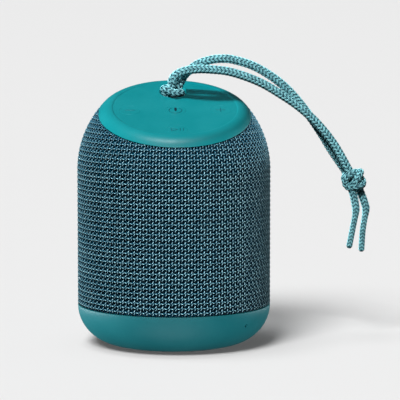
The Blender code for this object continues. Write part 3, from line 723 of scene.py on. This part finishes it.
def make_warps(share, rng):
    """One share of the upright yarns, each over one level yarn and under the next."""
    tubes = Tubes()
    for warp in range(share, WARPS, WARP_SHARES):
        theta = 2 * math.pi * warp / WARPS
        top = cloth_top(theta)
        s = np.append(np.arange(0, top - 0.15, ROW / 6), top)
        wave = np.cos(math.pi * (s / ROW - 0.5 + warp)) * np.clip((top - s) / 0.8, 0.0, 1.0)
        root, side, out, _ = cloth_frame(theta, s)
        narrow = np.hypot(out[:, 0], out[:, 1])
        crossing = (0.5 + warp % 2) * ROW + WARP_TWIST_START
        turn = math.pi / 2 + 2 * math.pi * (s - crossing) / WARP_TWIST
        add_yarn(tubes, rng, (root, side, out), -1, turn, wave, WARP_PLY, (0.02, 0.012), WARP_DIVE, narrow)
    return tubes


def make_wefts(share, rng):
    """One share of the level yarns, in rings that the slanted top cuts off in front."""
    tubes = Tubes()
    table = np.linspace(0, math.pi, 721)
    heights = cloth_top(table)
    step = 2 * math.pi / WARPS / 4
    for row in range(share, int(heights[-1] / ROW), WEFT_SHARES):
        s = (row + 0.5) * ROW
        whole = s < heights[0] - 0.3
        if whole:
            theta = np.arange(4 * WARPS) * step
        else:
            start = float(np.interp(s + 0.1, heights, table))
            first = math.ceil((start + 0.3 * step) / step)
            inner = np.arange(first, 4 * WARPS - first + 1) * step
            theta = np.concatenate([[start], inner, [2 * math.pi - start]])
        if len(theta) < 8:
            continue
        phase = math.pi * (theta * WARPS / (2 * math.pi) + row + 1)
        root, _, out, up = cloth_frame(theta, s)
        turn, wave = phase + math.pi * WEFT_TWIST_SHIFT, np.cos(phase)
        add_yarn(tubes, rng, (root, up, out), 1, turn, wave, WEFT_PLY, (0.015, 0.01), WEFT_DIVE, closed=whole)
    return tubes


LINER_R = 38.95
LINER_T = 0.33


def make_backing():
    """The dark open-mesh liner behind the yarns, its longest length and its area, in mm and square mm."""
    angles = 2 * math.pi * np.arange(160) / 160
    shares = np.linspace(0, 1, 41)
    s = cloth_top(angles)[:, None] * shares
    root, _, out, _ = cloth_frame(angles[:, None], s)
    outer, inner = root + out * LINER_R, root + out * (LINER_R - LINER_T)
    middle = (outer + inner) / 2
    down = np.diff(middle, axis=1)
    area = np.linalg.norm(np.cross((np.roll(middle, -1, 0) - middle)[:, :-1], down), axis=2).sum()
    points = np.concatenate([outer, inner[:, ::-1]], axis=1)
    mesh = finish_mesh("fabric_backing", points.reshape(-1, 3), ring_quads(*points.shape[:2]), 60)
    return mesh, np.linalg.norm(down, axis=2).sum(axis=1).max(), area


HEM_HALF_W, HEM_HALF_T = 0.30, 0.35
HEM_TOP_R, HEM_LOW_R = 39.15, 39.2


def make_hem(name, theta, s, distance, look):
    """A flat binding cord round an edge of the sleeve."""
    root, _, out, up = cloth_frame(theta, s)
    tubes = Tubes()
    rings = tube_rings(root + out * distance, up, out, HEM_HALF_W, HEM_HALF_T, polygon_section(8))
    tubes.add(rings, closed=True)
    return piece(name, tubes.mesh(name), look)


def make_sleeve():
    rng = np.random.default_rng(11)
    # Each yarn's pale colour is its painted highlight and its dark colour its painted shade.
    warp_look = yarn_material("warp_yarn", linear(184, 236, 248), linear(0, 58, 78), (1, 1, 0.08), 0.4)
    weft_look = yarn_material("weft_yarn", linear(180, 236, 244), linear(0, 58, 78), (0.1, 0.1, 1), 0.4)
    liner_look = plain_cloth_material()
    for way, shares, make, look in (
        ("warp", WARP_SHARES, make_warps, warp_look), ("weft", WEFT_SHARES, make_wefts, weft_look),
    ):
        for share in range(shares):
            name = f"fabric_{way}_{share + 1}"
            piece(name, make(share, rng).mesh(name), look)
    liner, length, area = make_backing()
    sleeve = piece("fabric_backing", liner, liner_look, ["grille_fabric"])
    theta = 2 * math.pi * np.arange(256) / 256
    hems = [
        make_hem("fabric_hem_top", theta, cloth_top(theta) + 0.05, HEM_TOP_R, liner_look),
        make_hem("fabric_hem_low", theta, np.full(256, 0.12), HEM_LOW_R, liner_look),
    ]


# ---- slanted top

PLATE_TOP_H = 27.84
PLATE_R = 25.3
HAIRLINE = 0.05
PAD_LOW_H = 26.8
PIN_R, PIN_LOW_H = 1.4, 24.5  # the pin under each button
WINDOW_R, WINDOW_REACH = 0.48, 1.1  # of the power mark's bar: its ends' radius, and half its straight length
WINDOW_U = 0.12  # how far it is to the right
UNDER_H = DECK_H - SKIN_T


def circle(radius, centre=(0.0, 0.0), steps=96):
    angles = 2 * math.pi * np.arange(steps) / steps
    return np.stack([centre[0] + radius * np.cos(angles), centre[1] + radius * np.sin(angles)], axis=1)


def holed_plate(holes):
    """The top skin: the rim's profile turned, a flat top and underside, and holes as (u, v, radius, lip)."""
    shape = bmesh.new()

    def ring(points, height):
        return [shape.verts.new((x, y, height)) for x, y in points]

    def skin(rings):
        for low, high in zip(rings, rings[1:]):
            for i in range(len(low)):
                shape.faces.new((low[i], low[i - 1], high[i - 1], high[i]))

    def loop_edges(verts):
        return [shape.edges.get((verts[i - 1], verts[i])) for i in range(len(verts))]

    outer = [ring(circle(r, steps=ROUND_STEPS), h) for r, h in rim_profile()]
    skin(outer)
    top_edges, under_edges = loop_edges(outer[0]), loop_edges(outer[-1])
    for u, v, radius, lip in holes:
        turn = np.radians(np.linspace(0, 90, 6))
        profile = [(radius + lip + 0.05, PLATE_TOP_H)]
        profile += [(radius + lip * (1 - math.sin(a)), PLATE_TOP_H - lip * (1 - math.cos(a))) for a in turn]
        profile += [(radius, UNDER_H)]
        rings = [ring(circle(r, (u, v)), h) for r, h in profile]
        skin(rings)
        top_edges += loop_edges(rings[0])
        under_edges += loop_edges(rings[-1])
    for edges in (top_edges, under_edges):
        bmesh.ops.triangle_fill(shape, edges=edges, use_beauty=True)
    bmesh.ops.recalc_face_normals(shape, faces=shape.faces)
    for vert, place in zip(shape.verts, deck_points([v.co[:] for v in shape.verts]) * MM):
        vert.co = place
    return smooth(bake(shape, "top_skin"), 50)


def rim_profile():
    """From the plateau up a slight step, round the rim, under its edge and back in below."""
    rim_h = DECK_H - RIM_R
    rim_r = math.sqrt((BODY_R - RIM_R) ** 2 - rim_h ** 2)
    end = math.degrees(math.atan2(rim_r, rim_h))
    low, high = PLATE_TOP_H, DECK_H
    step = [(PLATE_R, low), (PLATE_R + 0.05, low)]
    for t in np.linspace(0, 1, 7)[1:]:
        rise = t * t * (3 - 2 * t)
        step.append((PLATE_R + 0.05 + 0.45 * t, low + (high - 0.012 - low) * rise))
    arc = [
        (rim_r + RIM_R * math.sin(math.radians(a)), rim_h + RIM_R * math.cos(math.radians(a)))
        for a in np.linspace(5, end, 18)
    ]
    edge = [(math.sqrt(BODY_R ** 2 - h * h), h) for h in np.linspace(arc[-1][1], SKIN_EDGE_H + 0.28, 5)[1:]]
    edge_r = edge[-1][0]
    lip = [(edge_r + dr, SKIN_EDGE_H + dh) for dr, dh in ((0.02, 0.12), (-0.07, 0.03), (-0.25, 0.0))]
    under = [(29.7, SKIN_EDGE_H), (29.3, SKIN_EDGE_H + 0.5), (27.2, UNDER_H), (PLATE_R, UNDER_H)]
    return [*step, *arc, *edge, *lip, *under]


def stroke(tubes, points, closed=False):
    """A low raised line on a control, given by deck points (u, v)."""
    width = SYMBOL_W
    line = np.column_stack([points, np.full(len(points), PLATE_TOP_H - 0.02)])
    ahead = unit(np.roll(line, -1, 0) - np.roll(line, 1, 0) if closed else np.gradient(line, axis=0))
    out = np.broadcast_to([0.0, 0.0, 1.0], line.shape)
    side = np.cross(out, ahead)
    if not closed:
        line = np.vstack([line[:1], line, line[-1:]])
        ahead, out, side = (np.vstack([a[:1], a, a[-1:]]) for a in (ahead, out, side))
        width = np.full(len(line), width)
        line[0] -= ahead[0] * width[0] * 0.5
        line[-1] += ahead[-1] * width[0] * 0.5
        width[[0, -1]] *= 0.35
    rings = tube_rings(line, side, out, width, 0.13, polygon_section(8))
    tubes.add(deck_points(rings.reshape(-1, 3)).reshape(rings.shape), closed=closed)


SYMBOL_W = 0.19  # half the width of a mark's line
POWER_R = 2.6
BAR = 1.9  # half the length of the plus and minus bars
BAR_GAP = 0.12


def symbol(name, u, v):
    """The raised mark of one control."""
    tubes = Tubes()
    if name == "power":
        angles = np.radians(np.linspace(128, 412, 48))
        stroke(tubes, np.stack([u + POWER_R * np.cos(angles), v + POWER_R * np.sin(angles)], axis=1))
    if name in ("plus", "minus"):
        stroke(tubes, np.linspace((u - BAR, v), (u + BAR, v), 5))
    if name == "plus":
        stroke(tubes, np.linspace((u, v - BAR), (u, v - BAR_GAP), 5))
        stroke(tubes, np.linspace((u, v + BAR_GAP), (u, v + BAR), 5))
    if name == "play":
        corners = [(u - 2.5, v - 1.3), (u + 0.1, v), (u - 2.5, v + 1.3)]
        outline = np.vstack([np.linspace(corners[i - 1], corners[i], 7)[:-1] for i in range(3)])
        stroke(tubes, outline, closed=True)
        for x in (1.1, 2.3):
            stroke(tubes, np.linspace((u + x, v - 1.1), (u + x, v + 1.1), 5))
    return tubes.mesh("symbol_" + name)


def make_top(look):
    holes = [(u, v, BUTTON_R + HAIRLINE, 0.05) for u, v in BUTTONS.values()]
    holes.append((0.0, ANCHOR_V, ANCHOR_R, 0.55))
    piece("top_skin", holed_plate(holes), look, ["top_cap"])
    # The marks' lines are a darker teal than the cap.
    mark = rubber_material("symbol_dark_teal", linear(0, 112, 124), linear(10, 122, 132), 0.5)
    for name, (u, v) in BUTTONS.items():
        r = BUTTON_R
        profile = [(0, PLATE_TOP_H), (r - 0.16, PLATE_TOP_H)]
        profile += rounded_profile([(0, PLATE_TOP_H, 0), (r, PLATE_TOP_H, 0.05), (r, PAD_LOW_H, 0)])[1:]
        profile += [(PIN_R, PAD_LOW_H), (PIN_R, PIN_LOW_H), (0, PIN_LOW_H)]
        pad = turned("pad_" + name, profile, 96, (u, v), 50)
        piece("pad_" + name, pad, look, ["button_" + name], name + "_button")
        piece("symbol_" + name, symbol(name, u, v), mark, body=name + "_button")
    u, v = BUTTONS["power"]
    u, v = u + WINDOW_U, v + WINDOW_REACH
    window = polygon_section(24) * WINDOW_R + (u, v)
    window[:, 1] += np.where(window[:, 1] > v, WINDOW_REACH, -WINDOW_REACH)
    rings = [np.column_stack([window, np.full(24, h)]) for h in (PLATE_TOP_H - 0.4, PLATE_TOP_H + 0.03)]
    rings.append(rings[-1] * (0.9, 0.9, 1) + (u * 0.1, v * 0.1, 0.02))
    tubes = Tubes()
    tubes.add(deck_points(rings).reshape(3, 24, 3))
    smoked = plastic_material("smoked_window", linear(0, 30, 52), linear(6, 40, 60), 0.3)
    piece("power_window", tubes.mesh("power_window"), smoked, body="power_button")


# ---- base


def corner_points(radius, height, first=0.0, last=90.0, count=28):
    angles = np.radians(np.linspace(first, last, count))
    return [(BASE_R + radius * math.cos(a), SEAM_Z - height * math.sin(a)) for a in angles]


PORT_Z = 9.5
PORT_HOLE = (16.0, 8.0)
SHELL_T = 2.0
FLAP_T = 1.6
LEG_PLACES = (90, 210, 330)
LIGHT_Z = 11.3
LIGHT_ANGLE = 46.0


def make_base(look):
    outer = corner_points(BODY_R - BASE_R, SEAM_Z - BASE_Z)
    inner = corner_points(BODY_R - BASE_R - SHELL_T, SEAM_Z - 3.7, 12, 90, 16)
    top = [(BODY_R - 0.35, SEAM_Z), (BODY_R - 0.16, SEAM_Z - 0.04), (BODY_R - 0.04, SEAM_Z - 0.15)]
    profile = [
        (0, 3.7), *reversed(inner), (36.9, 15.0), (36.9, SEAM_Z), *top, (BODY_R, SEAM_Z - 0.4), *outer[2:],
        (20.45, BASE_Z), (20.33, BASE_Z + 0.04), (20.3, BASE_Z + 0.15), (20.3, 1.7), (0, 1.7),
    ]
    shell = turned("base_shell", profile, ROUND_STEPS)
    places = [(16.0 * math.cos(a), 16.0 * math.sin(a)) for a in np.radians(LEG_PLACES)]
    shell = boolean(shell, [rod_mesh(4.2, 3.0, 18.7, at(x, y)) for x, y in places], "UNION")
    cutters = [rod_mesh(3.0, -1, 7.7, at(x, y)) for x, y in places]
    cutters += [rod_mesh(1.5, 7, 20, at(x, y)) for x, y in places]
    width, height = PORT_HOLE
    cutters.append(block_mesh((width, 20, height), (0, 42, PORT_Z), 1.5))
    turn = Matrix.Rotation(math.radians(LIGHT_ANGLE - 90), 4, "Z") @ Matrix.Rotation(math.radians(90), 4, "Y")
    light = at(0, 0, LIGHT_Z) @ turn
    cutters.append(rod_mesh(0.75, 30, 45, light, 32))
    piece("base_shell", boolean(shell, cutters), look, ["bottom_cap"])

    profile = [(0, 38.3, 0), (0.6, 38.3, 0.15), (0.6, 34.4, 0), (1.6, 34.4, 0.1)]
    profile += [(1.6, 33.4, 0.1), (0, 33.4, 0)]
    pipe = turned("light_pipe", rounded_profile(profile), 32)
    pipe.transform(light)
    smoked = plastic_material("light_pipe", linear(10, 30, 34), linear(20, 44, 48), 0.25)
    piece("light_pipe", pipe, smoked, ["charge_light"])

    grooves = []
    for r in (17.5, 14.0, 10.5, 7.0, 3.5):
        grooves += [(r + 0.6, 0.0), (r + 0.35, 0.3), (r - 0.35, 0.3), (r - 0.6, 0.0)]
    edge = [(19.8, 1.4), (20.0, 1.2), (20.0, 0.5), (19.85, 0.15), (19.5, 0.0)]
    foot = turned("foot_tread", [(0, 1.4), *edge, *grooves, (0, 0)], sharp=30)
    dark = rubber_material("foot_rubber", linear(42, 44, 46), linear(64, 66, 68), 0.75)
    piece("foot_tread", foot, dark, ["foot_pad"])

    blank = [corner_points(BODY_R - BASE_R - t, SEAM_Z - BASE_Z - t, 5, 60, 24) for t in (0, FLAP_T)]
    flap = turned("port_flap", [*blank[0], *reversed(blank[1])], ROUND_STEPS)
    flap = boolean(flap, [block_mesh((width - 0.6, 30, height - 0.6), (0, 40, PORT_Z), 1.3)], "INTERSECT")
    notch = rod_mesh(2.6, -10, 10, at(0, 37.2, 3.9) @ Matrix.Rotation(math.radians(90), 4, "X"))
    piece("port_flap", boolean(flap, [notch]), look, ["port_cover"], "port_cover")


# ---- braided cord

CARRIERS = 8  # yarns each way round
BRAID_LEAD = 13.2  # length of one turn of a yarn on the full cord
YARN_W, YARN_T, YARN_WAVE = 0.20, 0.20, 0.17
PLY_APART = 0.19  # half the distance between the two plies of a yarn
CORD_DEEP_R = CORD_D / 2 - 0.40


def braid(tubes, line, diameter, rng, flip=1):
    """A tubular herringbone braid along an evenly spaced line, with a filled core."""
    first, second = line_frames(line)
    diameter = np.broadcast_to(diameter, len(line)).astype(float)
    ratio = diameter / CORD_D
    middle = diameter / 2 - (YARN_WAVE + YARN_T) * ratio
    turns = np.concatenate([[0], np.cumsum(np.diff(run(line)) / (BRAID_LEAD * (0.6 + 0.4 * ratio[1:])))])
    section = polygon_section(4)
    for way in (1, -1):
        for carrier in range(CARRIERS):
            angle = 2 * math.pi * (carrier / CARRIERS + way * turns)
            over = way * flip * np.sin(angle * CARRIERS / 2)
            radial = first * np.cos(angle)[:, None] + second * np.sin(angle)[:, None]
            radius = middle + YARN_WAVE * over * ratio
            centres = line + radial * radius[:, None]
            side = unit(np.cross(radial, unit(np.gradient(centres, axis=0))))
            tone = rng.uniform(0.0, 1.0) + rng.normal(0, 0.1, len(line))
            for place in (-1, 1):
                ply = centres + side * (place * PLY_APART * ratio)[:, None]
                rings = tube_rings(ply, side, radial, YARN_W * ratio, YARN_T * ratio, section)
                # Painted light on the cord: painted shade at the deep radius between the yarns, a painted
                # highlight on their crowns.
                reach = np.linalg.norm(rings - line[:, None, :], axis=2) / ratio[:, None]
                tubes.add(rings, tone[:, None], (reach - CORD_DEEP_R) / (CORD_D / 2 - CORD_DEEP_R))
    # The core shows only between the yarns and is painted shade: the darkest tone and no painted light.
    core = middle - YARN_WAVE * ratio * 0.6
    tubes.add(tube_rings(line, first, second, core, core, polygon_section(10)), 0.0, 0.0)


def cord_piece(name, line, diameter, look, rng, replaces=(), flip=1):
    tubes = Tubes()
    braid(tubes, line, diameter, rng, flip)
    return piece(name, tubes.mesh(name), look, replaces)


BRAID_STEP = 0.216
HITCH_D = 3.15
TAIL_SWELL = 1.07

# The hitch as deck points: from the left strand down behind the bar, under it and up in front, across the
# front of the two legs, and back the same way to the right strand
HITCH = [
    (-1.2, 16.1, 29.6), (-1.5, 17.1, 27.7), (-1.9, 18.6, 25.5), (-2.0, 18.8, 22.8),
    (-2.5, 16.9, 20.4), (-2.7, 14.6, 20.5), (-2.5, 13.2, 22.6), (-2.5, 13.3, 25.2), (-3.3, 13.9, 27.6),
    (-3.9, 14.2, 29.6), (-3.1, 13.4, 30.4), (-1.5, 12.5, 29.6), (0.4, 12.2, 28.9), (2.2, 12.6, 28.9),
    (3.3, 13.6, 28.4), (3.0, 14.0, 26.6), (2.5, 13.3, 24.6), (2.4, 13.2, 22.6), (2.6, 14.6, 20.5),
    (2.5, 16.9, 20.4), (1.9, 18.8, 22.8), (1.8, 18.8, 25.3), (1.9, 18.5, 27.6), (2.3, 18.3, 29.3),
]
HITCH_INSIDE = 2.3  # length of each end of the hitch that lies inside its strand

# The turns of the knot about its middle, as (right, rearward, up)
KNOT = (75.6, 5.9, 67.3)
KNOT_D = 3.3
KNOT_CORE_R = 2.5
KNOT_TURNS = [
    [(2.6, 1.5, 2.2), (0.9, -1.3, 3.3), (-1.6, -2.6, 2.7), (-3.3, -2.3, 0.9), (-3.3, -1.6, -1.3),
     (-1.7, -1.2, -3.0), (0.6, 0.6, -3.2)],
    [(1.6, 3.0, 1.4), (2.9, 1.2, 3.2), (2.5, -1.6, 2.9), (1.3, -3.1, 0.9), (0.2, -2.6, -1.0),
     (-0.6, -0.8, -2.2)],
    [(-1.4, 0.2, -2.8), (0.2, -2.2, -2.6), (2.0, -2.9, -2.2), (3.6, -1.6, -1.5), (3.9, 0.8, -0.3),
     (2.8, 2.8, 0.9), (0.8, 3.4, 1.6)],
    [(2.4, 1.8, -2.4), (0.6, 3.1, -2.7), (-1.7, 2.9, -1.6), (-3.3, 1.6, 0.2), (-3.2, -0.2, 2.0),
     (-1.6, -1.0, 3.0)],
    [(-2.2, 1.2, 2.6), (-0.2, 2.9, 2.9), (1.9, 2.9, 2.0), (3.2, 1.9, -0.2), (2.9, 0.8, -2.2)],
]
KNOT_CORE = [(-0.9, 0.2, 2.6), (-0.4, 0.2, 0.0), (0.6, 0.2, -2.6)]


def make_lanyard():
    rng = np.random.default_rng(5)
    # The cord's pale colour is its painted highlight and its dark colour its painted shade.
    look = yarn_material("cord_yarn", linear(154, 228, 236), linear(0, 72, 88), (1, 1, 1), 0.6)
    hitch_line = smooth_line([*STRAND_LEFT[1::-1], *deck_points(HITCH), *STRAND_RIGHT[:2]], BRAID_STEP)
    along = np.arange(len(hitch_line)) * BRAID_STEP
    from_end = np.minimum(along, along[-1] - along)
    places = (HITCH_INSIDE - 0.5, HITCH_INSIDE, 4.5, 8.0)
    hitch_d = np.interp(from_end, places, (2.4, CORD_D, CORD_D, HITCH_D))
    hitch_d += 0.35 * np.exp(-((along / along[-1] - 0.5) / 0.08) ** 2)
    hitch = cord_piece("cord_hitch", hitch_line, hitch_d, look, rng, ["lanyard_hitch"])

    tubes = Tubes()
    for turn in KNOT_TURNS:
        line = smooth_line(np.add(turn, KNOT), BRAID_STEP)
        ends = np.clip(np.minimum(np.arange(len(line)), np.arange(len(line))[::-1]) / 8, 0.5, 1)
        braid(tubes, line, KNOT_D * ends ** 0.5, rng)
    # A dark filler in the knot's middle is painted shade that closes the gaps between its turns.
    core = smooth_line(np.add(KNOT_CORE, KNOT), 0.5)
    bulge = KNOT_CORE_R * np.sqrt(np.clip(1 - np.linspace(-1, 1, len(core)) ** 2, 0.02, 1))
    first, second = line_frames(core)
    tubes.add(tube_rings(core, first, second, bulge, bulge, polygon_section(20)), 0.2, 0.1)
    knot = piece("cord_knot", tubes.mesh("cord_knot"), look, ["lanyard_knot"])

    tails = []
    for side, route in (("left", TAIL_LEFT), ("right", TAIL_RIGHT)):
        start = np.add(route[0], (-0.9, 0.3, 2.6))
        line = smooth_line([start, *route], BRAID_STEP)
        down = (line[:, 2] - line[-1, 2]) / (line[0, 2] - line[-1, 2])
        narrow = 1 / (1 + np.exp((down - 0.58) * 40))
        diameter = TAIL_SWELL * (TAIL_D - (TAIL_D - TAIL_END_D) * narrow)
        diameter *= np.sqrt(np.clip((len(line) - np.arange(len(line))) / 5, 0.15, 1))
        tails.append(cord_piece("cord_tail_" + side, line, diameter, look, rng, ["lanyard_tail_" + side]))

    for side, points, into, pieces, flip in (
        ("left", STRAND_LEFT, (74.6, 4.6, 69.6), [hitch, knot, tails[0]], -1),
        ("right", STRAND_RIGHT, (73.6, 7.4, 69.0), [tails[1]], 1),
    ):
        line = smooth_line([*points, into], BRAID_STEP)
        strand = cord_piece("cord_strand_" + side, line, CORD_D, look, rng, ["lanyard_strand_" + side], flip)


# ---- carried-over nodes


def dress_frame():
    """Gives every CAD node that is still shown a finish of its own kind."""
    black = plastic_material("black_plastic", linear(30, 31, 33), linear(48, 49, 51), 0.5)
    lead = plastic_material("lead_sheath", linear(26, 26, 28), linear(52, 30, 30), 0.4)
    soft = rubber_material("black_rubber", linear(34, 35, 37), linear(54, 55, 57), 0.7)
    steel = metal_material("steel", linear(196, 197, 200), linear(150, 150, 153), 0.3, (1, 1, 0.15))
    magnet = metal_material("nickel_plate", linear(170, 170, 172), linear(128, 126, 122), 0.4)
    copper = metal_material("copper_winding", linear(206, 120, 76), linear(150, 78, 48), 0.35, (0.2, 6, 0.2))
    wrap = plastic_material("cell_sleeve", linear(24, 78, 150), linear(36, 96, 172), 0.3)
    paper = paper_material()
    board = board_material()
    looks = {
        black: "top_frame lanyard_cup enclosure enclosure_lid battery_clip grille_frame port_pocket"
               " radiator_frame amplifier_chip",
        lead: "speaker_lead battery_lead charge_lead", soft: "lid_gasket driver_surround radiator_surround",
        board: "main_board port_board", paper: "driver_cone dust_cap spider",
        copper: "voice_coil", wrap: "battery_cell", magnet: "driver_magnet",
    }
    looks = {name: look for look, names in looks.items() for name in names.split()}
    for name, node in frame["nodes"].items():
        if node.hide_render:
            continue
        look = black if name.startswith("switch_") else looks.get(name, steel)
        for material_slot in node.material_slots:
            material_slot.material = look


make_camera()
make_lanyard()
studio_floor = make_floor()
make_sleeve()
make_top(rubber_material("cap_silicone", linear(2, 150, 158), linear(24, 160, 168), 0.42))
# The base is the cap's silicone in a darker teal, as painted shade.
make_base(rubber_material("base_silicone_painted_shade", linear(20, 124, 134), linear(34, 132, 142), 0.46))
dress_frame()
make_world()
make_lights(studio_floor)
